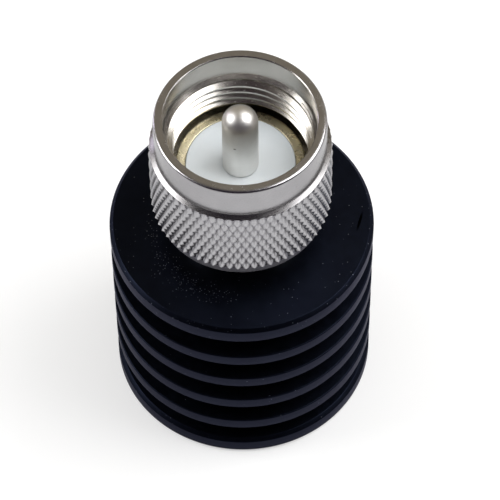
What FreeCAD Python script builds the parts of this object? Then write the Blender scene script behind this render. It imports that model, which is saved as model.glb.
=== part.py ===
import FreeCAD, Part
import Sketcher
import math
import os

# Coaxial terminator: a finned, round heat sink with a plug-type connector on top.
# Millimetres. The axis is Z, the origin is the centre of the foot, and the pin points up.

os.makedirs("parts", exist_ok=True)
doc = FreeCAD.newDocument("terminator")
sheet = doc.addObject("Spreadsheet::Sheet", "Sizes")
next_row = 1


class Length:
    """A length: its value in mm and the formula that gives it from the sheet."""

    def __init__(self, value, formula):
        self.value = value
        self.formula = formula

    def joined(self, other, sign, value):
        return Length(value, "(%s %s %s)" % (self.formula, sign, formula_of(other)))

    def __add__(self, other):
        return self.joined(other, "+", self.value + value_of(other))

    def __sub__(self, other):
        return self.joined(other, "-", self.value - value_of(other))

    def __mul__(self, other):
        return self.joined(other, "*", self.value * value_of(other))

    def __truediv__(self, other):
        return self.joined(other, "/", self.value / value_of(other))


def value_of(length):
    return length.value if isinstance(length, Length) else float(length)


def formula_of(length):
    return length.formula if isinstance(length, Length) else repr(length)


def size(alias, value):
    """Write one size into the sheet, as a number or as a formula of earlier sizes, and return it."""
    global next_row
    content = "=" + value.formula.replace("Sizes.", "") if isinstance(value, Length) else str(value)
    sheet.set("A%d" % next_row, alias)
    sheet.set("B%d" % next_row, content)
    sheet.setAlias("B%d" % next_row, alias)
    next_row += 1
    return Length(value_of(value), "Sizes." + alias)


# Connector body, from the barrel inwards
barrel_radius = size("barrel_radius", 7.25)
barrel_length = size("barrel_length", 11.3)
crown_wall = size("crown_wall", 1.15)
recess_radius = size("bead_recess_radius", barrel_radius - crown_wall)
recess_depth = size("bead_recess_depth", 3.6)
bead_step = size("bead_step", 1.5)
line_radius = size("line_bore_radius", recess_radius - bead_step)
crown_bevel = size("crown_bevel", 0.3)
crown_slot_width = size("crown_slot_width", 3.8)
crown_slot_depth = size("crown_slot_depth", 0.9)

# Threaded shank and the bore it closes
shank_wall = size("shank_wall", 1.6)
shank_radius = size("shank_radius", line_radius + shank_wall)
shank_length = size("shank_length", 10.0)
thread_clearance = size("shank_thread_clearance", 0.05)
sleeve_ledge = size("sleeve_bore_ledge", 0.6)
sleeve_bore_radius = size("sleeve_bore_radius", shank_radius - sleeve_ledge)
bore_chamfer = size("sink_bore_chamfer", 0.3)

# Heat sink
fin_radius = size("fin_radius", 15.0)
core_radius = size("core_radius", 9.5)
end_fin = size("end_fin_thickness", 2.5)
middle_fin = size("middle_fin_thickness", 1.7)
fin_gap = size("fin_gap", 3.08)
middle_fin_count = 4
end_chamfer = size("end_fin_chamfer", 0.42)
edge_break = size("fin_edge_break", 0.12)
sink_floor = size("sink_floor_thickness", 3.5)

# Retaining ring, half in the barrel's groove and half in the nut's
ring_height = size("ring_height", 4.8)
ring_thickness = size("ring_thickness", 1.0)
ring_seat = size("ring_seat", 0.8)
ring_reach = size("ring_reach", 0.7)
ring_inner_radius = size("ring_inner_radius", barrel_radius - ring_seat)
ring_outer_radius = size("ring_outer_radius", barrel_radius + ring_reach)
ring_gap = size("ring_gap", 3.2)
ring_play = size("ring_side_play", 0.03)
ring_radial_play = size("ring_radial_play", 0.1)
nut_float = size("nut_float", 1.2)

# Coupling nut, from the barrel outwards
nut_lip = size("nut_lip_thickness", 1.5)
nut_clearance = size("nut_running_clearance", 0.1)
nut_length = size("nut_length", 16.35)
nut_web = size("nut_web_thickness", 1.9)
thread_room = size("thread_room", 0.2)
thread_radius = size("thread_crest_radius", barrel_radius + thread_room)
thread_depth = size("thread_depth", 0.55)
relief_radius = size("thread_relief_radius", thread_radius + thread_depth)
thread_length = size("thread_length", 3.45)
lead_in = size("thread_lead_in", 0.97)
mouth_radius = size("mouth_radius", thread_radius + lead_in)
mouth_depth = size("mouth_depth", 3.1)
rim_chamfer_inner = size("rim_inner_chamfer", 0.1)
rim_chamfer_outer = size("rim_outer_chamfer", 0.26)
mouth_wall = size("mouth_wall", 1.08)
band_radius = size("band_radius", mouth_radius + mouth_wall)
band_length = size("band_length", 4.24)
knurl_step = size("knurl_step", 0.67)
knurl_radius = size("knurl_radius", band_radius + knurl_step)
shoulder_length = size("knurl_shoulder_length", 0.39)
knurl_bevel = size("knurl_bevel", 0.17)
knurl_bevel_length = size("knurl_bevel_length", 0.19)
collar_step = size("collar_step", 0.05)
collar_radius = size("collar_radius", band_radius + collar_step)
collar_length = size("collar_length", 1.7)
collar_chamfer = size("collar_chamfer", 0.5)
collar_shoulder = size("collar_shoulder_length", 0.4)
plain_length = collar_length + collar_shoulder + knurl_bevel_length + shoulder_length + band_length
knurl_length = size("knurl_length", nut_length - plain_length)

# Pin and its beads
pin_radius = size("pin_radius", 2.0)
pin_length = size("pin_length_beyond_bead", 9.8)
pin_neck_depth = size("pin_neck_depth", 0.2)
pin_neck_show = size("pin_neck_show", 0.1)
pin_tail = size("pin_tail_length", 8.4)
pin_flange_step = size("pin_flange_step", 0.9)
pin_flange_radius = size("pin_flange_radius", pin_radius + pin_flange_step)
pin_flange = size("pin_flange_thickness", 1.1)
press_gap = size("press_gap", 0.02)
bead_neck = size("bead_neck_length", 3.4)
bead_edge = size("bead_edge_break", 0.15)
support_thickness = size("support_bead_thickness", 2.0)
support_drop = size("support_bead_drop", 1.0)

# Spigot of the rod's live cap and the socket in the pin that grips it
spigot_radius = size("spigot_radius", 1.0)
spigot_length = size("spigot_length", 3.9)
spigot_gap = size("spigot_gap", 0.6)
socket_wall = size("pin_socket_wall", 0.88)
socket_room = size("pin_socket_room", 1.2)
socket_depth = size("pin_socket_depth", spigot_length - spigot_gap + socket_room)
socket_slot_width = size("pin_socket_slot_width", 0.45)
socket_web = size("pin_socket_web", 0.5)
socket_slot_length = size("pin_socket_slot_length", socket_depth - socket_web)
socket_passes = 2

# Resistor, its caps and what earths it
rod_radius = size("rod_radius", 1.6)
cap_wall = size("cap_wall", 0.5)
cap_radius = size("cap_radius", rod_radius + cap_wall)
cap_end = size("cap_end_thickness", 0.6)
cap_depth = size("cap_depth", 2.2)
collet_base = size("collet_base_thickness", 1.5)
finger_wall = size("collet_finger_wall", 0.58)
collet_radius = size("collet_finger_radius", cap_radius + press_gap + finger_wall)
collet_length = size("collet_finger_length", 2.6)
collet_slot_width = size("collet_slot_width", 0.4)
collet_passes = 2
sleeve_fit = size("sleeve_fit", 0.03)
collet_room = size("collet_room", 0.3)
sleeve_step = size("sleeve_step_length", 3.0)
washer_height = size("washer_height", 0.6)
washer_thickness = size("washer_thickness", 0.25)
washer_width = size("washer_width", 0.85)
edge_relief = size("small_edge_chamfer", 0.2)

# Heights that several pieces share, counted from the foot
foot = 0
sink_top = end_fin * 2 + middle_fin * middle_fin_count + fin_gap * (middle_fin_count + 1)
shank_foot = sink_top - shank_length
crown_top = sink_top + barrel_length
recess_floor = crown_top - recess_depth
ring_foot = sink_top + ring_height
ring_top = ring_foot + ring_thickness
groove_top = ring_top + nut_float + ring_play
nut_foot = ring_foot - ring_play - nut_lip
nut_top = nut_foot + nut_length
bead_foot = recess_floor - bead_neck
pin_flange_foot = bead_foot - pin_flange
pin_foot = pin_flange_foot - pin_tail
pin_tip = crown_top + pin_length
collet_top = sink_floor + collet_base
sleeve_top = shank_foot - washer_height
front_cap_top = pin_foot - spigot_gap
front_cap_foot = front_cap_top - cap_end - cap_depth
neck_radius = pin_radius - pin_neck_depth
tail_radius = spigot_radius + press_gap + socket_wall
axis = 0

sheet.recompute()

DOME = "dome"

# How a sketch numbers the points of an edge and its own two axes, which meet at the origin
START, END, CENTRE = range(1, 4)
LEVEL_AXIS, UPRIGHT_AXIS = range(-1, -3, -1)
ORIGIN = LEVEL_AXIS


def new_body(name):
    body = doc.addObject("PartDesign::Body", name)
    body.Label = name
    return body


def origin_plane(body, role):
    for feature in body.Origin.OriginFeatures:
        if feature.Role == role:
            return feature
    raise RuntimeError("no plane " + role)


def bind(sketch, constraint, length):
    """Tie one sketch constraint to the sheet."""
    index = sketch.addConstraint(constraint)
    if isinstance(length, Length):
        sketch.setExpression("Constraints[%d]" % index, length.formula)


def profile(body, name, corners):
    """Draw a closed half section. Each corner is (radius, height).

    A corner marked DOME starts a quarter circle about the axis that ends at the next corner.
    """
    sketch = body.newObject("Sketcher::SketchObject", name)
    sketch.AttachmentSupport = (origin_plane(body, "XZ_Plane"), [""])
    sketch.MapMode = "FlatFace"
    points = [FreeCAD.Vector(value_of(corner[0]), value_of(corner[1]), 0) for corner in corners]
    up = FreeCAD.Vector(0, 0, 1)
    for index, corner in enumerate(corners):
        start = points[index]
        end = points[(index + 1) % len(points)]
        if DOME in corner:
            circle = Part.Circle(FreeCAD.Vector(0, start.y, 0), up, start.x)
            sketch.addGeometry(Part.ArcOfCircle(circle, 0, math.pi / 2), False)
        else:
            sketch.addGeometry(Part.LineSegment(start, end), False)
    for index, corner in enumerate(corners):
        following = (index + 1) % len(corners)
        sketch.addConstraint(Sketcher.Constraint("Coincident", index, END, following, START))
    for index, corner in enumerate(corners):
        radius, height = corner[:2]
        if value_of(radius) == 0:
            sketch.addConstraint(Sketcher.Constraint("PointOnObject", index, START, UPRIGHT_AXIS))
        else:
            across = Sketcher.Constraint("DistanceX", ORIGIN, START, index, START, value_of(radius))
            bind(sketch, across, radius)
        if DOME in corner:
            sketch.addConstraint(Sketcher.Constraint("PointOnObject", index, CENTRE, UPRIGHT_AXIS))
            sketch.addConstraint(Sketcher.Constraint("Horizontal", index, CENTRE, index, START))
        if DOME in corners[index - 1]:
            continue
        if value_of(height) == 0:
            sketch.addConstraint(Sketcher.Constraint("PointOnObject", index, START, LEVEL_AXIS))
        else:
            upward = Sketcher.Constraint("DistanceY", ORIGIN, START, index, START, value_of(height))
            bind(sketch, upward, height)
    return sketch


def turned(name, corners):
    """A piece turned in one go from its half section."""
    body = new_body(name)
    sketch = profile(body, name + "_section", corners)
    turning = body.newObject("PartDesign::Revolution", name + "_turning")
    turning.Profile = sketch
    turning.ReferenceAxis = (sketch, ["V_Axis"])
    turning.Angle = 360
    body.Tip = turning
    doc.recompute()
    return body


def slot(body, name, left, right, width, height, depth, passes, upward=False):
    """Saw a straight slot into the end of a piece, in several evenly turned passes."""
    before = body.Shape.Volume
    sketch = body.newObject("Sketcher::SketchObject", name + "_outline")
    sketch.AttachmentSupport = (origin_plane(body, "XY_Plane"), [""])
    sketch.MapMode = "FlatFace"
    sketch.setExpression("AttachmentOffset.Base.z", formula_of(height))
    x_left, x_right, half = value_of(left), value_of(right), value_of(width) / 2
    corners = [(x_left, -half), (x_right, -half), (x_right, half), (x_left, half)]
    points = [FreeCAD.Vector(x, y, 0) for x, y in corners]
    front, right_end, back, left_end = range(len(points))
    following = (right_end, back, left_end, front)
    for index, point in enumerate(points):
        sketch.addGeometry(Part.LineSegment(point, points[following[index]]), False)
    for index, after in enumerate(following):
        sketch.addConstraint(Sketcher.Constraint("Coincident", index, END, after, START))
    for index in (front, back):
        sketch.addConstraint(Sketcher.Constraint("Horizontal", index))
    for index in (right_end, left_end):
        sketch.addConstraint(Sketcher.Constraint("Vertical", index))
    bind(sketch, Sketcher.Constraint("DistanceX", ORIGIN, START, front, START, x_left), left)
    bind(sketch, Sketcher.Constraint("DistanceX", ORIGIN, START, front, END, x_right), right)
    bind(sketch, Sketcher.Constraint("DistanceY", front, START, ORIGIN, START, half), width / 2)
    bind(sketch, Sketcher.Constraint("DistanceY", ORIGIN, START, back, START, half), width / 2)
    cut = body.newObject("PartDesign::Pocket", name)
    cut.Profile = sketch
    cut.Length = value_of(depth)
    cut.setExpression("Length", formula_of(depth))
    cut.Reversed = upward
    body.Tip = cut
    if passes > 1:
        turns = body.newObject("PartDesign::PolarPattern", name + "_passes")
        turns.Originals = [cut]
        turns.Axis = (sketch, ["N_Axis"])
        turns.Angle = 180 * (passes - 1) / passes
        turns.Occurrences = passes
        body.Tip = turns
    doc.recompute()
    if body.Shape.Volume >= before:
        raise RuntimeError(name + " removed nothing")


def fin_corners():
    """Outer corners of the fins, from the foot up."""
    corners = []
    height = Length(0.0, "0")
    for index in range(middle_fin_count + 2):
        at_end = index in (0, middle_fin_count + 1)
        thickness = end_fin if at_end else middle_fin
        break_ = end_chamfer if at_end else edge_break
        if index > 0:
            corners.append((core_radius, height))
        corners.append((fin_radius - break_, height))
        corners.append((fin_radius, height + break_))
        corners.append((fin_radius, height + thickness - break_))
        corners.append((fin_radius - break_, height + thickness))
        if index < middle_fin_count + 1:
            corners.append((core_radius, height + thickness))
        height = height + thickness + fin_gap
    return corners


def heat_sink():
    shank_bore = shank_radius + thread_clearance
    bore = [
        (shank_bore + bore_chamfer, sink_top),
        (shank_bore, sink_top - bore_chamfer),
        (shank_bore, shank_foot),
        (sleeve_bore_radius, shank_foot),
        (sleeve_bore_radius, sink_floor),
        (axis, sink_floor),
    ]
    return turned("heat_sink", [(axis, foot)] + fin_corners() + bore)


def connector_body():
    """Shank, barrel and crown in one piece. The wide groove lets the ring and the nut float."""
    groove_radius = ring_inner_radius - ring_radial_play
    body = turned("connector_body", [
        (line_radius, shank_foot),
        (shank_radius - edge_relief, shank_foot),
        (shank_radius, shank_foot + edge_relief),
        (shank_radius, sink_top),
        (barrel_radius, sink_top),
        (barrel_radius, ring_foot),
        (groove_radius, ring_foot),
        (groove_radius, groove_top),
        (barrel_radius, groove_top),
        (barrel_radius, crown_top - crown_bevel),
        (barrel_radius - crown_bevel, crown_top),
        (recess_radius, crown_top),
        (recess_radius, recess_floor),
        (line_radius, recess_floor),
    ])
    half_slot = crown_slot_width / 2
    across = (barrel_radius + edge_relief) * 2
    slot(body, "crown_slots", half_slot * -1, half_slot, across, crown_top, crown_slot_depth, 1)
    return body


def retaining_ring():
    body = turned("retaining_ring", [
        (ring_inner_radius, ring_foot + ring_play / 2),
        (ring_outer_radius, ring_foot + ring_play / 2),
        (ring_outer_radius, ring_top),
        (ring_inner_radius, ring_top),
    ])
    reach = ring_outer_radius + edge_relief
    slot(body, "ring_opening", ring_inner_radius / 2, reach, ring_gap, ring_top, ring_thickness, 1)
    return body


def coupling_nut():
    running_bore = barrel_radius + nut_clearance
    groove_radius = ring_outer_radius + ring_radial_play * 2
    thread_top = nut_top - mouth_depth - (mouth_radius - thread_radius)
    collar_top = nut_foot + collar_length
    knurl_top = collar_top + collar_shoulder + knurl_length
    web_top = ring_top + ring_play + nut_web
    return turned("coupling_nut", [
        (running_bore, nut_foot),
        (collar_radius - collar_chamfer, nut_foot),
        (collar_radius, nut_foot + collar_chamfer),
        (collar_radius, collar_top),
        (knurl_radius, collar_top + collar_shoulder),
        (knurl_radius, knurl_top),
        (knurl_radius - knurl_bevel, knurl_top + knurl_bevel_length),
        (band_radius, nut_top - band_length),
        (band_radius, nut_top - rim_chamfer_outer),
        (band_radius - rim_chamfer_outer, nut_top),
        (mouth_radius + rim_chamfer_inner, nut_top),
        (mouth_radius, nut_top - rim_chamfer_inner),
        (mouth_radius, nut_top - mouth_depth),
        (thread_radius, thread_top),
        (thread_radius, thread_top - thread_length),
        (relief_radius, thread_top - thread_length),
        (relief_radius, web_top),
        (running_bore, web_top),
        (running_bore, ring_top + ring_play),
        (groove_radius, ring_top + ring_play),
        (groove_radius, nut_foot + nut_lip),
        (running_bore, nut_foot + nut_lip),
    ])


def front_insulator():
    hole = neck_radius + press_gap
    return turned("front_insulator", [
        (hole, bead_foot),
        (line_radius - press_gap, bead_foot),
        (line_radius - press_gap, recess_floor),
        (recess_radius - press_gap, recess_floor),
        (recess_radius - press_gap, crown_top - bead_edge),
        (recess_radius - press_gap - bead_edge, crown_top),
        (hole, crown_top),
    ])


def centre_pin():
    """Domed pin, its neck in the bead, the flange behind the bead and the slotted socket at the back."""
    socket_radius = spigot_radius + press_gap
    shoulder = crown_top + pin_neck_show
    body = turned("centre_pin", [
        (socket_radius, pin_foot),
        (tail_radius - edge_relief, pin_foot),
        (tail_radius, pin_foot + edge_relief),
        (tail_radius, pin_flange_foot),
        (pin_flange_radius, pin_flange_foot),
        (pin_flange_radius, bead_foot),
        (neck_radius, bead_foot),
        (neck_radius, shoulder),
        (pin_radius, shoulder),
        (pin_radius, pin_tip - pin_radius, DOME),
        (axis, pin_tip),
        (axis, pin_foot + socket_depth),
        (socket_radius, pin_foot + socket_depth),
    ])
    reach = pin_radius + edge_relief
    slot(body, "socket_slots", reach * -1, reach, socket_slot_width, pin_foot, socket_slot_length,
         socket_passes, upward=True)
    return body


def support_bead():
    top = pin_flange_foot - support_drop
    return turned("support_bead", [
        (tail_radius + press_gap, top - support_thickness),
        (line_radius - press_gap, top - support_thickness),
        (line_radius - press_gap, top),
        (tail_radius + press_gap, top),
    ])


def front_cap():
    """Cap on the live end of the rod. Its spigot goes into the pin's socket."""
    inside = front_cap_foot + cap_depth
    return turned("front_cap", [
        (rod_radius + press_gap, front_cap_foot),
        (cap_radius, front_cap_foot),
        (cap_radius, front_cap_top),
        (spigot_radius, front_cap_top),
        (spigot_radius, front_cap_top + spigot_length - edge_relief),
        (spigot_radius - edge_relief, front_cap_top + spigot_length),
        (axis, front_cap_top + spigot_length),
        (axis, inside),
        (rod_radius + press_gap, inside),
    ])


def rear_cap():
    return turned("rear_cap", [
        (axis, collet_top),
        (cap_radius, collet_top),
        (cap_radius, collet_top + cap_end + cap_depth),
        (rod_radius + press_gap, collet_top + cap_end + cap_depth),
        (rod_radius + press_gap, collet_top + cap_end),
        (axis, collet_top + cap_end),
    ])


def resistor_rod():
    return turned("resistor_rod", [
        (axis, collet_top + cap_end),
        (rod_radius, collet_top + cap_end),
        (rod_radius, front_cap_foot + cap_depth),
        (axis, front_cap_foot + cap_depth),
    ])


def ground_collet():
    """Disc on the sink's floor with sprung fingers round the rear cap."""
    grip = cap_radius + press_gap
    body = turned("ground_collet", [
        (axis, sink_floor),
        (sleeve_bore_radius - sleeve_fit, sink_floor),
        (sleeve_bore_radius - sleeve_fit, collet_top),
        (collet_radius, collet_top),
        (collet_radius, collet_top + collet_length),
        (grip, collet_top + collet_length),
        (grip, collet_top),
        (axis, collet_top),
    ])
    reach = collet_radius + edge_relief
    slot(body, "finger_slots", reach * -1, reach, collet_slot_width, collet_top + collet_length,
         collet_length, collet_passes)
    return body


def taper_sleeve():
    """Outer conductor. Its bore narrows towards the earthed end of the rod."""
    narrow = collet_radius + collet_room
    return turned("taper_sleeve", [
        (narrow, collet_top),
        (sleeve_bore_radius - sleeve_fit, collet_top),
        (sleeve_bore_radius - sleeve_fit, sleeve_top),
        (line_radius, sleeve_top),
        (narrow, collet_top + sleeve_step),
    ])


def spring_washer():
    """Dished washer between the sleeve and the end of the shank."""
    outer = sleeve_bore_radius - sleeve_fit
    return turned("spring_washer", [
        (outer - washer_width, sleeve_top),
        (outer - washer_width, sleeve_top + washer_thickness),
        (outer, shank_foot),
        (outer, shank_foot - washer_thickness),
    ])


pieces = [
    heat_sink(),
    connector_body(),
    retaining_ring(),
    coupling_nut(),
    front_insulator(),
    centre_pin(),
    support_bead(),
    front_cap(),
    rear_cap(),
    resistor_rod(),
    ground_collet(),
    taper_sleeve(),
    spring_washer(),
]

doc.recompute()
for item in doc.Objects:
    if "Invalid" in item.State or "Error" in item.State:
        raise RuntimeError(item.Name + " did not build")
for piece in pieces:
    if piece.Shape.isNull() or not piece.Shape.isValid():
        raise RuntimeError(piece.Label + " is not a valid solid")
for piece in pieces:
    piece.Shape.exportStep("parts/%s.step" % piece.Label)
    box = piece.Shape.BoundBox
    print("%-16s z %7.3f to %7.3f  r %6.3f  volume %9.3f  solids %d" % (
        piece.Label, box.ZMin, box.ZMax, box.XMax, piece.Shape.Volume, len(piece.Shape.Solids)))
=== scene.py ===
import math

import bmesh
import bpy
from mathutils import Matrix, Vector


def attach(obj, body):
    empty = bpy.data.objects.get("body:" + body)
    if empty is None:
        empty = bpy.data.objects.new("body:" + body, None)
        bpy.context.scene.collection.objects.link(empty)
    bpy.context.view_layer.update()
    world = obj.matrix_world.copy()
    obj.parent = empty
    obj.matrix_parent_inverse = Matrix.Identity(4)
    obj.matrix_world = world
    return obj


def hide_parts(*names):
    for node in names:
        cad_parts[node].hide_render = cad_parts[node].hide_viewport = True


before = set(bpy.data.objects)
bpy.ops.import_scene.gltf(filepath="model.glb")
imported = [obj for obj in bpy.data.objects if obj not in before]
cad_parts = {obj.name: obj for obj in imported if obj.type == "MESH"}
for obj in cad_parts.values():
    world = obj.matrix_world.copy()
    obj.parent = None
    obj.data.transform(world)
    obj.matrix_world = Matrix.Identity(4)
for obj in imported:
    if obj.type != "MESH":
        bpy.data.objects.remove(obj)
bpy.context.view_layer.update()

# Lengths below are written in millimetres and scaled to metres by MM.
MM = 0.001
TURN = 2 * math.pi
COLUMNS = 272
PIN_COLUMNS = 128
SMALL_ROUND = 0.05

# Heat sink
FIN_RADIUS = 15.0
CORE_RADIUS = 9.5
END_FIN = 2.5
MIDDLE_FIN = 1.7
FIN_GAP = 3.08
FIN_COUNT = 6
END_CHAMFER = 0.42
EDGE_BREAK = 0.1
EDGE_ROUND = 0.03
ROOT_ROUND = 0.25
SINK_TOP = 27.2
SHANK_BORE = 6.25
SLEEVE_BORE = 5.6
BORE_FLOOR = 3.5

# Connector body
BARREL_RADIUS = 7.25
CROWN_TOP = 38.5
CROWN_BEVEL = 0.15
CROWN_ROUND = 0.12
CROWN_SLOT_WIDTH = 3.8
CROWN_SLOT_DEPTH = 0.9
SAW_LENGTH = 20
RECESS_RADIUS = 6.1
RECESS_FLOOR = 34.9
LINE_RADIUS = 4.6
SHANK_FOOT = 17.2
SHANK_RADIUS = 6.2
SHANK_ROUND = 0.1
RING_GROOVE = (32.0, 34.23)
RING_GROOVE_RADIUS = 6.35

# Pin and bead
PIN_RADIUS = 2.0
PIN_TIP = 48.3
PIN_FOOT = 22.0
DOME_STEPS = 24
NECK_RADIUS = 1.8
NECK_SHOW = 0.1
NECK_ROUND = 0.04
FLANGE_RADIUS = 2.9
FLANGE_FOOT = 30.4
TAIL_RADIUS = 1.9
TAIL_ROUND = 0.15
SOCKET_RADIUS = 1.02
SOCKET_FLOOR = 26.5
BEAD_FOOT = 31.5
BEAD_PLAY = 0.02

# Coupling nut
NUT_FOOT = 30.47
NUT_TOP = 46.82
COLLAR_RADIUS = 9.55
COLLAR_CHAMFER = 0.5
COLLAR_ROUND = 0.06
RUNNING_BORE = 7.35
NUT_GROOVE = (31.97, 33.03)
NUT_GROOVE_RADIUS = 8.15
WEB_TOP = 34.93
MOUTH_RADIUS = 8.42
MOUTH_FLOOR = 43.72
MOUTH_ROUND = 0.04
RIM_BREAK = 0.1
RIM_BREAK_ROUND = 0.02
RIM_ROUND = 0.45
RIM_STEPS = 6
BAND_RADIUS = 9.5
BAND_FOOT = 42.58

# A ring of points this near a curve keeps the flat beside it flat.
GUARD = 0.04

# Knurl, with the shoulder above it. PIT_HALF_WIDTH is in columns of the knurl's grid.
KNURL_RADIUS = 10.17
KNURL_FOOT = 32.57
KNURL_TOP = 42.0
KNURL_RUN_OUT = 0.4
COLLAR_TOP = KNURL_FOOT - 0.45
RUN_OUT_STEPS = 4
KNURL_STARTS = 68
KNURL_PERIOD = 2.139
KNURL_STEPS = 8
KNURL_DEPTH = 0.31
KNURL_COLUMNS = KNURL_STARTS * KNURL_STEPS
KNURL_RISE = KNURL_PERIOD / KNURL_STEPS
PIT_HALF_WIDTH = 2.7
# Painted shade in the knurl's pits where the grooves cross, weaker towards the top.
PIT_SHADE_GAIN = 1.8
PIT_SHADE_FADE = 0.7
SHOULDER_EDGE_RADIUS = 10.0
SHOULDER_EDGE_HEIGHT = 42.19
SHOULDER_LEAN = math.radians(57)
SHOULDER_HOLLOW = 0.12
HOLLOW_FOOT = BAND_FOOT - SHOULDER_HOLLOW * math.sin(SHOULDER_LEAN)
BEVEL_STEPS = 2
HOLLOW_STEPS = 6

# Inside thread
THREAD_MAJOR = 8.0
THREAD_SEAT = 8.08
THREAD_CREST = 7.45
THREAD_FOOT = 39.3
THREAD_TOP = MOUTH_FLOOR - 0.32
LEAD_IN_FOOT = MOUTH_FLOOR - 0.85
THREAD_PITCH = 1.0583
THREAD_PHASE = -1.37
THREAD_FLANK = math.tan(math.radians(30))
THREAD_STEPS = 192
THREAD_LEAST = 0.03
FACING_GAP = 0.002

# Dust: an arc of grains at the left of the top disc, few grains elsewhere, and rubbed fin edges
GRAINS_PER_MM = 5.4
GRAIN_REACH = 0.31
DUST_RADIUS = 10.5
DUST_HALF_WIDTH = 1.7
DUST_MIDDLE_X = -5.8
DUST_HALF_LENGTH = 6.0
DUST_THICK = 0.55
DUST_THIN = 0.02
EDGE_RUB = 0.05
RUBBED_WIDTH = 0.5
BELOW_TOP_SHARE = 0.1
DUST_COLOUR = (0.20, 0.22, 0.27)

# Surfaces
MARK_HEIGHT = 0.02
NOISE_SPREAD = (0.3, 0.7)
LATHE_MARKS = (1, 1, 9)
SINK_MARKS = (1, 1, 8)
# Colour of the painted shade in the knurl's pits.
PIT_SHADE_COLOUR = (0.03, 0.025, 0.035)
WHITE_LIGHT = (1, 1, 1)

# Studio
FLOOR_SIZE = 6
FLOOR_ALBEDO = 0.55
FLOOR_GLOW_SEEN = 0.45
FLOOR_GLOW_MIRRORED = 0.12
FLOOR_GLOW_RANGE = (30, 120)
ROOM_DARK = (0.030, 0.022, 0.034)
ROOM_LIGHT = (0.27, 0.235, 0.175)
LAMP_AIM = 40

# Camera, from the fit to the round edges of the photograph. Its focal length is in pixels there.
CAMERA_TILT = 1.00279302
CAMERA_ROLL = math.radians(-0.738)
CAMERA_DISTANCE = 26.3313 * FIN_RADIUS
CAMERA_ACROSS = -0.0603878 * FIN_RADIUS
CAMERA_UPWARD = -0.7377565 * FIN_RADIUS
FOCAL_PIXELS = 3281.912
PICTURE_PIXELS = 500
FILM_WIDTH = 36


def material(name):
    """A new node material and its shader."""
    made = bpy.data.materials.new(name)
    made.use_nodes = True
    shader = made.node_tree.nodes["Principled BSDF"]
    return made, made.node_tree, shader


def coordinates(tree, scale=(1, 1, 1)):
    """Object coordinates, in millimetres, stretched by scale."""
    source = tree.nodes.new("ShaderNodeTexCoord")
    mapping = tree.nodes.new("ShaderNodeMapping")
    mapping.inputs["Scale"].default_value = [1 / MM * factor for factor in scale]
    tree.links.new(source.outputs["Object"], mapping.inputs["Vector"])
    return mapping.outputs["Vector"]


def length(tree, vector):
    node = tree.nodes.new("ShaderNodeVectorMath")
    node.operation = "LENGTH"
    tree.links.new(vector, node.inputs[0])
    return node.outputs["Value"]


def noise(tree, vector, scale, detail=4.0):
    node = tree.nodes.new("ShaderNodeTexNoise")
    node.inputs["Scale"].default_value = scale
    node.inputs["Detail"].default_value = detail
    node.inputs["Roughness"].default_value = 0.55
    tree.links.new(vector, node.inputs["Vector"])
    return node.outputs["Fac"]


def ramp(tree, value, stops):
    """Map a value through two colour stops, each (position, colour)."""
    node = tree.nodes.new("ShaderNodeValToRGB")
    for element, (position, colour) in zip(node.color_ramp.elements, stops):
        element.position = position
        element.color = (*colour, 1)
    tree.links.new(value, node.inputs["Fac"])
    return node.outputs["Color"]


def mapped(tree, value, source, target=(0.0, 1.0)):
    """Map a value from one range to another, held at both ends."""
    node = tree.nodes.new("ShaderNodeMapRange")
    node.inputs["From Min"].default_value = source[0]
    node.inputs["From Max"].default_value = source[1]
    node.inputs["To Min"].default_value = target[0]
    node.inputs["To Max"].default_value = target[1]
    tree.links.new(value, node.inputs["Value"])
    return node.outputs["Result"]


def mixed(tree, factor, base, colour):
    """Lay a plain colour over a base colour by a factor."""
    node = tree.nodes.new("ShaderNodeMix")
    node.data_type = "RGBA"
    tree.links.new(factor, node.inputs["Factor"])
    tree.links.new(base, node.inputs["A"])
    node.inputs["B"].default_value = (*colour, 1)
    return node.outputs["Result"]


def calculated(tree, operation, first, second=0.0):
    """One step of arithmetic on sockets or numbers."""
    node = tree.nodes.new("ShaderNodeMath")
    node.operation = operation
    for socket, value in zip(node.inputs, (first, second)):
        if isinstance(value, float):
            socket.default_value = value
        else:
            tree.links.new(value, socket)
    return node.outputs[0]


def surfaced(tree, shader, marks, roughness, grain):
    """Let fine marks vary the roughness and stand a little proud of the surface."""
    tree.links.new(mapped(tree, marks, NOISE_SPREAD, roughness), shader.inputs["Roughness"])
    node = tree.nodes.new("ShaderNodeBump")
    node.inputs["Strength"].default_value = grain
    node.inputs["Distance"].default_value = MARK_HEIGHT * MM
    tree.links.new(marks, node.inputs["Height"])
    tree.links.new(node.outputs["Normal"], shader.inputs["Normal"])


def metal(name, low, high, roughness, grain=0.03, painted_pit_shade=False):
    """Turned and plated metal: faint rings left by the lathe under a slightly uneven plate.

    Optionally the mesh's point values of painted shade darken the bottoms of its cuts.
    """
    made, tree, shader = material(name)
    shader.inputs["Metallic"].default_value = 1.0
    blotch = noise(tree, coordinates(tree), 0.45)
    tone = ramp(tree, blotch, [(0.35, low), (0.65, high)])
    # Painted shade in the bottoms of the cuts, from the mesh's point values.
    if painted_pit_shade:
        held = tree.nodes.new("ShaderNodeAttribute")
        held.attribute_name = "painted_pit_shade"
        tone = mixed(tree, held.outputs["Fac"], tone, PIT_SHADE_COLOUR)
    tree.links.new(tone, shader.inputs["Base Color"])
    marks = noise(tree, coordinates(tree, LATHE_MARKS), 1.2, detail=6.0)
    surfaced(tree, shader, marks, roughness, grain)
    return made


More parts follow.
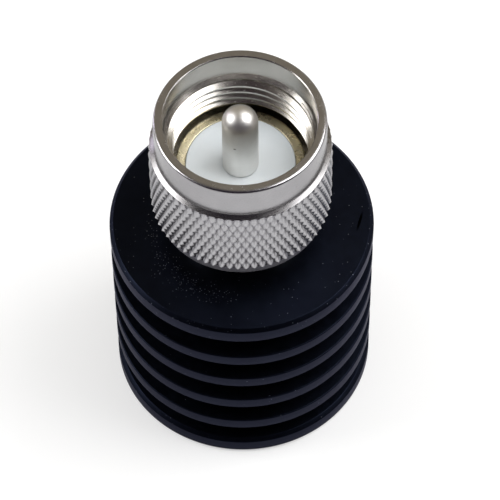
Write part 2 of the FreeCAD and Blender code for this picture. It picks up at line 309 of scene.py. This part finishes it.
def speckled(tree, base):
    """Lay dust on the top disc, and rubbed spots on the fins' edges, over a base colour."""
    place = coordinates(tree)
    cells = tree.nodes.new("ShaderNodeTexVoronoi")
    cells.inputs["Scale"].default_value = GRAINS_PER_MM
    tree.links.new(place, cells.inputs["Vector"])
    chance = tree.nodes.new("ShaderNodeSeparateColor")
    tree.links.new(cells.outputs["Color"], chance.inputs["Color"])
    split = tree.nodes.new("ShaderNodeSeparateXYZ")
    tree.links.new(place, split.inputs["Vector"])
    x, y, z = (split.outputs[axis] for axis in "XYZ")

    def plus(first, second):
        return calculated(tree, "ADD", first, second)

    def times(first, second):
        return calculated(tree, "MULTIPLY", first, second)

    radius = calculated(tree, "SQRT", plus(times(x, x), times(y, y)))
    along = times(plus(x, -DUST_MIDDLE_X), 1 / DUST_HALF_LENGTH)
    across = times(plus(radius, -DUST_RADIUS), 1 / DUST_HALF_WIDTH)
    squares = plus(times(along, along), times(across, across))
    thick = calculated(tree, "MAXIMUM", calculated(tree, "SUBTRACT", 1.0, squares), 0.0)
    thick = times(thick, calculated(tree, "LESS_THAN", y, 0.0))
    on_edge = calculated(tree, "GREATER_THAN", radius, FIN_RADIUS - RUBBED_WIDTH)
    on_top = calculated(tree, "GREATER_THAN", z, SINK_TOP - RUBBED_WIDTH)
    share = plus(plus(times(thick, DUST_THICK), DUST_THIN), times(on_edge, EDGE_RUB))
    share = times(share, plus(times(on_top, 1 - BELOW_TOP_SHARE), BELOW_TOP_SHARE))
    picked = calculated(tree, "LESS_THAN", chance.outputs["Red"], share)
    spot = calculated(tree, "LESS_THAN", cells.outputs["Distance"], GRAIN_REACH)
    return mixed(tree, times(times(picked, spot), chance.outputs["Green"]), base, DUST_COLOUR)


def marked(made, centre, lean, reach, colour):
    """Give a material one small mark: an ellipsoid about a centre, leaning round the axis."""
    tree = made.node_tree
    base = tree.nodes["Principled BSDF"].inputs["Base Color"]
    local = tree.nodes.new("ShaderNodeMapping")
    local.vector_type = "TEXTURE"
    local.inputs["Location"].default_value = centre
    local.inputs["Rotation"].default_value = (0, 0, lean)
    local.inputs["Scale"].default_value = reach
    tree.links.new(coordinates(tree), local.inputs["Vector"])
    inside = mapped(tree, length(tree, local.outputs["Vector"]), (1.0, 0.5))
    tree.links.new(mixed(tree, inside, base.links[0].from_socket, colour), base)


def anodised():
    """Satin blue-black on machined aluminium, with dust on the top disc and rubbed spots on the edges."""
    made, tree, shader = material("anodised_black")
    shader.inputs["Metallic"].default_value = 1.0
    shader.inputs["Specular Tint"].default_value = (0.75, 0.75, 0.87, 1)
    blotch = noise(tree, coordinates(tree), 0.3)
    base = ramp(tree, blotch, [(0.3, (0.009, 0.011, 0.020)), (0.7, (0.011, 0.014, 0.024))])
    tree.links.new(speckled(tree, base), shader.inputs["Base Color"])
    marks = noise(tree, coordinates(tree, SINK_MARKS), 1.5, detail=5.0)
    surfaced(tree, shader, marks, (0.34, 0.46), 0.1)
    return made


def ptfe():
    """Matte white plastic that lets a little light in."""
    made, tree, shader = material("white_ptfe")
    cloud = noise(tree, coordinates(tree), 0.25)
    tone = ramp(tree, cloud, [(0.3, (0.79, 0.84, 0.87)), (0.7, (0.84, 0.88, 0.90))])
    tree.links.new(tone, shader.inputs["Base Color"])
    shader.inputs["Subsurface Weight"].default_value = 0.15
    shader.inputs["Subsurface Radius"].default_value = (0.6 * MM, 0.6 * MM, 0.6 * MM)
    shader.inputs["Subsurface Scale"].default_value = 1.0
    marks = noise(tree, coordinates(tree), 6.0, detail=6.0)
    surfaced(tree, shader, marks, (0.42, 0.55), 0.05)
    return made


# One nickel plate, copied for the knurl, the shoulder, the band, the collar and the inside: the copies
# differ in roughness and in painted light and shade, lighter on the knurl (painted light), darker on the
# shoulder and collar (painted shade), warmer inside (painted warm light).
NICKEL = metal("bright_nickel", (0.47, 0.465, 0.48), (0.51, 0.50, 0.52), (0.20, 0.28), grain=0.01)
# Knurl: lighter than the band, painted light.
LIT_KNURL_PLATE = metal("knurl_plate_painted_light_and_shade", (0.575, 0.57, 0.595), (0.615, 0.61, 0.635), (0.26, 0.32),
                    grain=0.01, painted_pit_shade=True)
# Inside and thread: warmer, painted warm light.
WARM_LIT_INNER_PLATE = metal("inner_plate_painted_warm_light", (0.505, 0.485, 0.45), (0.545, 0.52, 0.485), (0.20, 0.28),
                    grain=0.01)
# Shoulder: darker, painted shade that dims its highlights.
SHADED_SHOULDER_PLATE = metal("shoulder_plate_painted_shade", (0.27, 0.265, 0.27), (0.31, 0.30, 0.305), (0.24, 0.32),
                       grain=0.01)
# Collar: darker, painted shade under the knurl's overhang.
SHADED_COLLAR_PLATE = metal("collar_plate_painted_shade", (0.24, 0.24, 0.27), (0.32, 0.31, 0.35), (0.50, 0.62))
CROWN_PLATE = metal("crown_plate", (0.55, 0.51, 0.37), (0.66, 0.60, 0.43), (0.22, 0.34))
PIN_PLATE = metal("pin_plate", (0.78, 0.77, 0.75), (0.84, 0.83, 0.81), (0.38, 0.46))
SPRING = metal("spring_steel", (0.36, 0.36, 0.37), (0.44, 0.44, 0.45), (0.25, 0.35))
BRASS = metal("bare_brass", (0.62, 0.47, 0.20), (0.70, 0.54, 0.26), (0.22, 0.34))
BLACK = anodised()
WHITE = ptfe()

# A scratch on the top disc, and a dark speck on the pin
marked(BLACK, centre=(13.38, -0.53, SINK_TOP), lean=math.radians(74), reach=(1.6, 0.2, 0.4),
       colour=(0.0, 0.0, 0.0))
marked(PIN_PLATE, centre=(-0.62, -1.9, 43.91), lean=math.radians(-18), reach=(0.2, 0.2, 0.13),
       colour=(0.16, 0.14, 0.12))


def rounded(corners, steps=4):
    """Replace each (radius, height, fillet) corner by a short curve. Corners without one stay sharp."""
    points = []
    count = len(corners)
    for index, corner in enumerate(corners):
        here = Vector(corner[:2])
        fillet = corner[2] if len(corner) > 2 else 0
        if not fillet:
            points.append(tuple(here))
            continue
        back = Vector(corners[index - 1][:2]) - here
        ahead = Vector(corners[(index + 1) % count][:2]) - here
        start = here + back.normalized() * fillet
        end = here + ahead.normalized() * fillet
        for step in range(steps + 1):
            t = step / steps
            points.append(tuple(start * (1 - t) ** 2 + here * 2 * t * (1 - t) + end * t ** 2))
    return points


def on_circle(radius, height, turn):
    return (radius * math.cos(turn), radius * math.sin(turn), height)


def new_object(name, vertices, faces, paint, sharp=32):
    """A mesh object in metres from millimetre vertices, smooth but for its sharp edges."""
    mesh = bpy.data.meshes.new(name)
    mesh.from_pydata([(x * MM, y * MM, z * MM) for x, y, z in vertices], [], faces)
    work = bmesh.new()
    work.from_mesh(mesh)
    bmesh.ops.recalc_face_normals(work, faces=work.faces)
    work.to_mesh(mesh)
    work.free()
    made = bpy.data.objects.new(name, mesh)
    bpy.context.scene.collection.objects.link(made)
    mesh.materials.append(paint)
    mesh.shade_smooth()
    mesh.set_sharp_from_angle(angle=math.radians(sharp))
    return made


def lathe(name, profile, paint, columns=COLUMNS):
    """Turn a closed half section about the axis. Points on the axis become one vertex."""
    vertices = []
    rings = []
    for radius, height in profile:
        first = len(vertices)
        if radius < 1e-6:
            vertices.append((0, 0, height))
            rings.append([first] * columns)
        else:
            vertices.extend(on_circle(radius, height, TURN * step / columns) for step in range(columns))
            rings.append(list(range(first, first + columns)))
    faces = []
    for ring, following in zip(rings, rings[1:] + rings[:1]):
        if ring[0] == ring[1] and following[0] == following[1]:
            continue
        for step in range(columns):
            after = (step + 1) % columns
            face = [ring[step], ring[after], following[after], following[step]]
            faces.append(list(dict.fromkeys(face)))
    return new_object(name, vertices, faces, paint)


def heat_sink():
    """A thick foot disc, four thin fins and a thick top disc round a core, bored from the top."""
    corners = [(0, 0)]
    height = 0
    for index in range(FIN_COUNT):
        at_end = index in (0, FIN_COUNT - 1)
        thickness = END_FIN if at_end else MIDDLE_FIN
        cut = END_CHAMFER if at_end else EDGE_BREAK
        if index > 0:
            corners.append((CORE_RADIUS, height, ROOT_ROUND))
        corners.append((FIN_RADIUS - cut, height, EDGE_ROUND))
        corners.append((FIN_RADIUS, height + cut, EDGE_ROUND))
        corners.append((FIN_RADIUS, height + thickness - cut, EDGE_ROUND))
        corners.append((FIN_RADIUS - cut, height + thickness, EDGE_ROUND))
        if index < FIN_COUNT - 1:
            corners.append((CORE_RADIUS, height + thickness, ROOT_ROUND))
        height += thickness + FIN_GAP
    corners += [
        (SHANK_BORE, SINK_TOP),
        (SHANK_BORE, SHANK_FOOT),
        (SLEEVE_BORE, SHANK_FOOT),
        (SLEEVE_BORE, BORE_FLOOR),
        (0, BORE_FLOOR),
    ]
    return lathe("sink_turned", rounded(corners), BLACK)


def connector_body():
    corners = [
        (LINE_RADIUS, SHANK_FOOT),
        (SHANK_RADIUS, SHANK_FOOT, SHANK_ROUND),
        (SHANK_RADIUS, SINK_TOP),
        (BARREL_RADIUS, SINK_TOP, SMALL_ROUND),
        (BARREL_RADIUS, RING_GROOVE[0], SMALL_ROUND),
        (RING_GROOVE_RADIUS, RING_GROOVE[0]),
        (RING_GROOVE_RADIUS, RING_GROOVE[1]),
        (BARREL_RADIUS, RING_GROOVE[1], SMALL_ROUND),
        (BARREL_RADIUS, CROWN_TOP - CROWN_BEVEL, SMALL_ROUND),
        (BARREL_RADIUS - CROWN_BEVEL, CROWN_TOP, SMALL_ROUND),
        (RECESS_RADIUS, CROWN_TOP, CROWN_ROUND),
        (RECESS_RADIUS, RECESS_FLOOR),
        (LINE_RADIUS, RECESS_FLOOR),
    ]
    return lathe("body_turned", rounded(corners), CROWN_PLATE)


def saw_slots(piece):
    """Cut the two locating slots straight across the crown in one pass, from front to back."""
    bpy.ops.mesh.primitive_cube_add(size=1)
    saw = bpy.context.active_object
    saw.dimensions = (CROWN_SLOT_WIDTH * MM, SAW_LENGTH * MM, 2 * CROWN_SLOT_DEPTH * MM)
    saw.location = (0, 0, CROWN_TOP * MM)
    bpy.context.view_layer.update()
    cut = piece.modifiers.new("slots", "BOOLEAN")
    cut.object = saw
    cut.operation = "DIFFERENCE"
    cut.solver = "EXACT"
    bpy.context.view_layer.objects.active = piece
    bpy.ops.object.modifier_apply(modifier=cut.name)
    bpy.data.objects.remove(saw)
    piece.data.set_sharp_from_angle(angle=math.radians(32))


def insulator():
    """The white bead, stepped behind, with a hole for the pin's neck."""
    hole = NECK_RADIUS + BEAD_PLAY
    line = LINE_RADIUS - BEAD_PLAY
    outer = RECESS_RADIUS - BEAD_PLAY
    top = CROWN_TOP - BEAD_PLAY
    corners = [
        (hole, BEAD_FOOT),
        (line, BEAD_FOOT, SMALL_ROUND),
        (line, RECESS_FLOOR),
        (outer, RECESS_FLOOR, SMALL_ROUND),
        (outer, top, CROWN_ROUND),
        (hole, top, SMALL_ROUND),
    ]
    return lathe("bead_turned", rounded(corners), WHITE)


def centre_pin():
    """The pin: a socket behind, a flange behind the bead, a neck through it, and a domed tip."""
    corners = [
        (SOCKET_RADIUS, PIN_FOOT),
        (TAIL_RADIUS, PIN_FOOT, TAIL_ROUND),
        (TAIL_RADIUS, FLANGE_FOOT),
        (FLANGE_RADIUS, FLANGE_FOOT, SMALL_ROUND),
        (FLANGE_RADIUS, BEAD_FOOT, SMALL_ROUND),
        (NECK_RADIUS, BEAD_FOOT),
        (NECK_RADIUS, CROWN_TOP + NECK_SHOW),
        (PIN_RADIUS, CROWN_TOP + NECK_SHOW, NECK_ROUND),
    ]
    dome_foot = PIN_TIP - PIN_RADIUS
    for step in range(DOME_STEPS):
        rise = math.pi / 2 * step / DOME_STEPS
        corners.append((PIN_RADIUS * math.cos(rise), dome_foot + PIN_RADIUS * math.sin(rise)))
    corners += [(0, PIN_TIP), (0, SOCKET_FLOOR), (SOCKET_RADIUS, SOCKET_FLOOR)]
    return lathe("pin_turned", rounded(corners), PIN_PLATE, columns=PIN_COLUMNS)


def blank_radius(height):
    """Radius of the knurl's blank: a run-out below, a bevel, then a cone and a hollow up to the band."""
    if height >= HOLLOW_FOOT:
        below = BAND_FOOT - height
        return BAND_RADIUS + SHOULDER_HOLLOW - math.sqrt(SHOULDER_HOLLOW ** 2 - below ** 2)
    if height >= SHOULDER_EDGE_HEIGHT:
        share = (HOLLOW_FOOT - height) / (HOLLOW_FOOT - SHOULDER_EDGE_HEIGHT)
        start = BAND_RADIUS + SHOULDER_HOLLOW * (1 - math.cos(SHOULDER_LEAN))
        return start + (SHOULDER_EDGE_RADIUS - start) * share
    bevel = (KNURL_RADIUS - SHOULDER_EDGE_RADIUS) / (SHOULDER_EDGE_HEIGHT - KNURL_TOP)
    run_out = (height - KNURL_FOOT + KNURL_RUN_OUT) / KNURL_RUN_OUT
    return min(
        KNURL_RADIUS,
        SHOULDER_EDGE_RADIUS + (SHOULDER_EDGE_HEIGHT - height) * bevel,
        COLLAR_RADIUS + (KNURL_RADIUS - COLLAR_RADIUS) * run_out,
    )


def knurl_cut(column, height):
    """Depth of the crossing V grooves at a point of the grid, and the painted shade where two of them
    cross, weaker towards the top.
    """
    around = column / KNURL_STEPS
    along = (height - KNURL_FOOT) / KNURL_PERIOD
    away = [abs(phase - round(phase)) * KNURL_STEPS for phase in (around + along, around - along)]
    groove = 1 - min(away) / (KNURL_STEPS / 2)
    pit = max(0.0, 1 - max(away) / PIT_HALF_WIDTH)
    risen = (height - KNURL_FOOT) / (KNURL_TOP - KNURL_FOOT)
    return groove * KNURL_DEPTH, min(1.0, PIT_SHADE_GAIN * pit) * (1 - PIT_SHADE_FADE * risen)


def knurl_heights():
    """Heights of the rings from the knurl's run-out to just under the band."""
    rows = math.floor((KNURL_TOP - KNURL_FOOT) / KNURL_RISE) + 1
    run_out_step = KNURL_RUN_OUT / RUN_OUT_STEPS
    bevel_step = (SHOULDER_EDGE_HEIGHT - KNURL_TOP) / BEVEL_STEPS
    hollow_step = (BAND_FOOT - HOLLOW_FOOT) / HOLLOW_STEPS
    heights = [KNURL_FOOT - KNURL_RUN_OUT + run_out_step * step for step in range(RUN_OUT_STEPS)]
    heights += [KNURL_FOOT + KNURL_RISE * row for row in range(rows)]
    heights += [KNURL_TOP + bevel_step * step for step in range(BEVEL_STEPS)]
    heights.append(SHOULDER_EDGE_HEIGHT)
    heights += [HOLLOW_FOOT + hollow_step * step for step in range(HOLLOW_STEPS)]
    return heights


# In the next three profiles an end corner that is cut off again only gives its neighbour a direction.
def collar_profile():
    return rounded([
        (RUNNING_BORE, NUT_FOOT),
        (COLLAR_RADIUS - COLLAR_CHAMFER, NUT_FOOT, COLLAR_ROUND),
        (COLLAR_RADIUS, NUT_FOOT + COLLAR_CHAMFER, COLLAR_ROUND),
        (COLLAR_RADIUS, COLLAR_TOP),
    ])[1:]


def band_profile():
    return rounded([
        (BAND_RADIUS, BAND_FOOT),
        (BAND_RADIUS, BAND_FOOT + GUARD),
        (BAND_RADIUS, NUT_TOP - RIM_ROUND - GUARD),
        (BAND_RADIUS, NUT_TOP, RIM_ROUND),
        (BAND_RADIUS - RIM_ROUND - GUARD, NUT_TOP),
        (MOUTH_RADIUS + RIM_BREAK + GUARD + RIM_BREAK_ROUND, NUT_TOP),
        (MOUTH_RADIUS + RIM_BREAK, NUT_TOP, RIM_BREAK_ROUND),
        (MOUTH_RADIUS, NUT_TOP - RIM_BREAK),
    ], steps=RIM_STEPS)[:-1]


def inside_profile():
    return rounded([
        (MOUTH_RADIUS + RIM_BREAK, NUT_TOP),
        (MOUTH_RADIUS, NUT_TOP - RIM_BREAK, RIM_BREAK_ROUND),
        (MOUTH_RADIUS, MOUTH_FLOOR, MOUTH_ROUND),
        (THREAD_MAJOR, MOUTH_FLOOR - (MOUTH_RADIUS - THREAD_MAJOR)),
        (THREAD_MAJOR, WEB_TOP),
        (RUNNING_BORE, WEB_TOP, SMALL_ROUND),
        (RUNNING_BORE, NUT_GROOVE[1]),
        (NUT_GROOVE_RADIUS, NUT_GROOVE[1]),
        (NUT_GROOVE_RADIUS, NUT_GROOVE[0]),
        (RUNNING_BORE, NUT_GROOVE[0]),
        (RUNNING_BORE, NUT_FOOT, SMALL_ROUND),
        (COLLAR_RADIUS - COLLAR_CHAMFER, NUT_FOOT),
    ])[1:-1]


class Skin:
    """The nut's points and faces, which grow ring by ring, and the painted shade that the cut points hold.
    """

    def __init__(self):
        self.vertices = []
        self.faces = []
        self.painted_pit_shade = {}

    def ring(self, radius, height, count=KNURL_COLUMNS):
        first = len(self.vertices)
        self.vertices.extend(on_circle(radius, height, TURN * step / count) for step in range(count))
        return list(range(first, first + count))

    def knurled_ring(self, height):
        first = len(self.vertices)
        limit = blank_radius(height)
        for step in range(KNURL_COLUMNS):
            depth, crossing_shade = knurl_cut(step, height)
            cut_to = KNURL_RADIUS - depth
            radius = min(limit, cut_to) if height < SHOULDER_EDGE_HEIGHT else limit
            # Points cut below the blank carry painted shade.
            if radius < limit:
                self.painted_pit_shade[len(self.vertices)] = crossing_shade
            self.vertices.append(on_circle(radius, height, TURN * step / KNURL_COLUMNS))
        return list(range(first, first + KNURL_COLUMNS))

    def join(self, low, high):
        """Quads from one ring to the next."""
        count = len(low)
        for step in range(count):
            after = (step + 1) % count
            self.faces.append([low[step], low[after], high[after], high[step]])

    def join_knurled(self, low, high, row):
        """Triangles from one knurled ring to the next, split along the grooves."""
        for step in range(KNURL_COLUMNS):
            after = (step + 1) % KNURL_COLUMNS
            if (step + row + 1) % KNURL_STEPS == 0:
                self.faces.append([low[step], low[after], high[step]])
                self.faces.append([low[after], high[after], high[step]])
            else:
                self.faces.append([low[step], low[after], high[after]])
                self.faces.append([low[step], high[after], high[step]])

    def join_to_half(self, full, half):
        """Triangles from a ring to one with half as many points."""
        for step in range(len(half)):
            after = (step + 1) % len(half)
            middle = 2 * step + 1
            beyond = (2 * step + 2) % len(full)
            self.faces.append([full[2 * step], full[middle], half[step]])
            self.faces.append([full[middle], half[after], half[step]])
            self.faces.append([full[middle], full[beyond], half[after]])


def coupling_nut():
    """The nut's skin: a fine grid outside for the knurl, half as fine inside, and a copy of the plate for
    each part, lighter or darker with painted light and shade.
    """
    skin = Skin()
    collar_rings = [skin.ring(*point) for point in collar_profile()]
    heights = knurl_heights()
    knurl_rings = [skin.knurled_ring(height) for height in heights]
    for low, high in zip(collar_rings, collar_rings[1:] + knurl_rings[:1]):
        skin.join(low, high)
    collar_end = len(skin.faces)
    for low, high, height in zip(knurl_rings, knurl_rings[1:], heights):
        skin.join_knurled(low, high, round((height - KNURL_FOOT) / KNURL_RISE))
        if height < SHOULDER_EDGE_HEIGHT:
            knurl_end = len(skin.faces)
    shoulder_end = len(skin.faces)
    band_rings = [skin.ring(*point) for point in band_profile()]
    for low, high in zip(knurl_rings[-1:] + band_rings, band_rings):
        skin.join(low, high)
    band_end = len(skin.faces)
    inner_rings = [skin.ring(*point, KNURL_COLUMNS // 2) for point in inside_profile()]
    skin.join_to_half(band_rings[-1], inner_rings[0])
    skin.join_to_half(collar_rings[0], inner_rings[-1])
    for low, high in zip(inner_rings, inner_rings[1:]):
        skin.join(low, high)

    made = new_object("nut_turned", skin.vertices, skin.faces, SHADED_COLLAR_PLATE, sharp=24)
    mesh = made.data
    for paint in (LIT_KNURL_PLATE, SHADED_SHOULDER_PLATE, NICKEL, WARM_LIT_INNER_PLATE):
        mesh.materials.append(paint)
    ends = (collar_end, knurl_end, shoulder_end, band_end)
    for index, polygon in enumerate(mesh.polygons):
        polygon.material_index = sum(index >= end for end in ends)
    for edge in mesh.edges:
        if all(abs(mesh.vertices[end].co.z - SHOULDER_EDGE_HEIGHT * MM) < 1e-7 for end in edge.vertices):
            edge.use_edge_sharp = True
    # Painted shade for the knurl's pits, kept on the points.
    held = mesh.attributes.new("painted_pit_shade", "FLOAT", "POINT")
    for index, value in skin.painted_pit_shade.items():
        held.data[index].value = value
    return made


def nut_thread():
    """The inside thread: a helical ridge faced off flat below and cut back by the lead-in cone above."""
    crest_half = THREAD_PITCH / 8
    run = (THREAD_SEAT - THREAD_CREST) * THREAD_FLANK
    first_height = THREAD_FOOT - crest_half - run + THREAD_LEAST
    count = int((THREAD_TOP - first_height) / THREAD_PITCH * THREAD_STEPS)
    vertices = []
    for step in range(count + 1):
        centre = first_height + THREAD_PITCH * step / THREAD_STEPS
        low = centre - crest_half
        high = centre + crest_half
        cone = THREAD_CREST + max(0.0, high - LEAD_IN_FOOT)
        crest = min(cone, THREAD_SEAT - THREAD_LEAST)
        reach = (THREAD_SEAT - crest) * THREAD_FLANK
        floor_height = max(low - reach, THREAD_FOOT)
        top_height = high + reach
        if high < THREAD_FOOT:
            crest += (THREAD_FOOT - high) / THREAD_FLANK
            high = THREAD_FOOT
        section = [
            (THREAD_SEAT, floor_height - 2 * FACING_GAP),
            (crest, max(low, THREAD_FOOT) - FACING_GAP),
            (crest, high),
            (THREAD_SEAT, top_height),
        ]
        turn = THREAD_PHASE + TURN * step / THREAD_STEPS
        vertices.extend(on_circle(radius, height, turn) for radius, height in section)
    faces = []
    for first in range(0, 4 * count, 4):
        for side in range(4):
            after = (side + 1) % 4
            faces.append([first + side, first + after, first + 4 + after, first + 4 + side])
    faces.append([0, 1, 2, 3])
    faces.append([4 * count + side for side in (3, 2, 1, 0)])
    return new_object("nut_thread", vertices, faces, WARM_LIT_INNER_PLATE, sharp=25)


def fit(piece, body, node):
    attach(piece, body)
    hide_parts(node)


fit(heat_sink(), "load", "heat_sink")
crown = connector_body()
saw_slots(crown)
fit(crown, "load", "connector_body")
fit(insulator(), "load", "front_insulator")
fit(centre_pin(), "load", "centre_pin")
fit(coupling_nut(), "nut", "coupling_nut")
thread = nut_thread()
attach(thread, "nut")

for node, paint in (("retaining_ring", SPRING), ("spring_washer", SPRING), ("support_bead", WHITE),
                    ("resistor_rod", WHITE), ("front_cap", BRASS), ("rear_cap", BRASS),
                    ("ground_collet", BRASS), ("taper_sleeve", BRASS)):
    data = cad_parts[node].data
    data.materials.clear()
    data.materials.append(paint)


def floor():
    """Pale floor that keeps the shadow, white to the camera far from the object, and pale in the metal."""
    bpy.ops.mesh.primitive_plane_add(size=FLOOR_SIZE)
    plane = bpy.context.active_object
    plane.name = "floor"
    made, tree, shader = material("floor_white")
    shader.inputs["Base Color"].default_value = (FLOOR_ALBEDO, FLOOR_ALBEDO, FLOOR_ALBEDO, 1)
    shader.inputs["Roughness"].default_value = 0.9
    shader.inputs["Specular IOR Level"].default_value = 0.0
    path = tree.nodes.new("ShaderNodeLightPath")
    glow = mapped(tree, length(tree, coordinates(tree)), FLOOR_GLOW_RANGE, (FLOOR_GLOW_SEEN, 1.0))
    seen = calculated(tree, "MULTIPLY", path.outputs["Is Camera Ray"], glow)
    mirrored = calculated(tree, "MAXIMUM", path.outputs["Is Glossy Ray"],
                          path.outputs["Is Transmission Ray"])
    mirrored = calculated(tree, "MULTIPLY", mirrored, FLOOR_GLOW_MIRRORED)
    shader.inputs["Emission Color"].default_value = (*WHITE_LIGHT, 1)
    tree.links.new(calculated(tree, "ADD", seen, mirrored), shader.inputs["Emission Strength"])
    plane.data.materials.append(made)


def lamp(name, direction, distance, size, power, colour=WHITE_LIGHT):
    """A rectangular lamp, in metres, that looks at the part's upper end from a direction."""
    data = bpy.data.lights.new(name, "AREA")
    data.shape = "RECTANGLE"
    data.size, data.size_y = size
    data.energy = power
    data.color = colour
    made = bpy.data.objects.new(name, data)
    bpy.context.scene.collection.objects.link(made)
    aim = Vector((0, 0, LAMP_AIM * MM))
    made.location = aim + Vector(direction).normalized() * distance
    made.rotation_euler = (aim - made.location).to_track_quat("-Z", "Y").to_euler()
    return made


def studio():
    """A dim room, darkest on the camera's side, with a soft box each side and soft light from above.

    The camera itself sees the room white.
    """
    world = bpy.data.worlds.new("studio")
    bpy.context.scene.world = world
    world.use_nodes = True
    tree = world.node_tree
    direction = tree.nodes.new("ShaderNodeTexCoord")
    split = tree.nodes.new("ShaderNodeSeparateXYZ")
    tree.links.new(direction.outputs["Generated"], split.inputs["Vector"])
    across = mapped(tree, split.outputs["Y"], (-0.5, 0.5))
    room = ramp(tree, across, [(0.0, ROOM_DARK), (1.0, ROOM_LIGHT)])
    path = tree.nodes.new("ShaderNodeLightPath")
    seen = mixed(tree, path.outputs["Is Camera Ray"], room, WHITE_LIGHT)
    tree.links.new(seen, tree.nodes["Background"].inputs["Color"])
    lamp("lamp_left", (-0.83, 0.05, 0.56), distance=0.42, size=(0.24, 0.24), power=1.0)
    lamp("lamp_right", (0.65, 0.05, 0.765), distance=0.42, size=(0.33, 0.33), power=1.7)
    lamp("lamp_low", (-0.80, 0.54, 0.17), distance=0.5, size=(0.06, 0.10), power=0.12,
         colour=(0.85, 0.80, 1.0))
    above = lamp("lamp_above", (0, 0, 1), distance=0.6, size=(0.5, 0.5), power=1.6,
                 colour=(0.95, 0.98, 1.0))
    above.visible_glossy = False


def camera():
    """The photograph's view: looking down at 57.5 degrees from far away."""
    forward = Vector((0, math.cos(CAMERA_TILT), -math.sin(CAMERA_TILT)))
    right = Vector((1, 0, 0))
    up = Vector((0, math.sin(CAMERA_TILT), math.cos(CAMERA_TILT)))
    data = bpy.data.cameras.new("camera")
    data.lens = FOCAL_PIXELS / PICTURE_PIXELS * FILM_WIDTH
    data.sensor_width = FILM_WIDTH
    data.clip_start = 0.01
    data.clip_end = 20
    made = bpy.data.objects.new("camera", data)
    bpy.context.scene.collection.objects.link(made)
    place = -(right * CAMERA_ACROSS + up * CAMERA_UPWARD + forward * CAMERA_DISTANCE) * MM
    rolled_right = right * math.cos(CAMERA_ROLL) + up * math.sin(CAMERA_ROLL)
    rolled_up = up * math.cos(CAMERA_ROLL) - right * math.sin(CAMERA_ROLL)
    turned = Matrix((rolled_right, rolled_up, -forward)).transposed()
    made.matrix_world = Matrix.Translation(place) @ turned.to_4x4()
    bpy.context.scene.camera = made


floor()
studio()
camera()
bpy.context.scene.view_settings.view_transform = "Standard"
